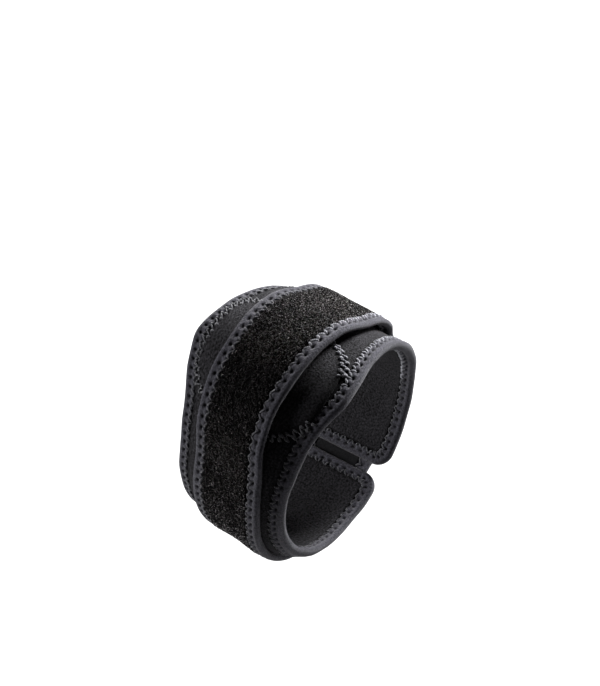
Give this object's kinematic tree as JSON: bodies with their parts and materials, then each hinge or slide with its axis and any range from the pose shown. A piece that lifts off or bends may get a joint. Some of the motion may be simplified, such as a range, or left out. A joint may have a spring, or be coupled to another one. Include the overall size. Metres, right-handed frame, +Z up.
{
  "type": "tennis elbow strap",
  "caption": "Padded neoprene forearm band with a raised pad pocket and a loop-faced strap wrapped over it, bound with folded tape on every edge.",
  "frame": {"origin": "middle of the hollow that the forearm fills, halfway along the width of the band", "axes": "+X along the forearm towards the hand, +Y to the back, where the strap is fastened, +Z up, over the pad's side"},
  "size_m": [0.0809, 0.1257, 0.1244],
  "materials": {
    "jersey": "charcoal nylon jersey over neoprene, fine knit, matt",
    "tape": "blue-grey folded jersey binding with grey zigzag stitching",
    "pile": "black brushed loop pile",
    "hook": "black hook tape"
  },
  "bodies": {
    "root": {"band": "jersey", "band_binding": "tape", "pad_pocket": "jersey", "strap_backing": "jersey", "strap_binding": "tape", "loop_facing": "pile", "hook_patch": "hook"}
  },
  "joints": []
}
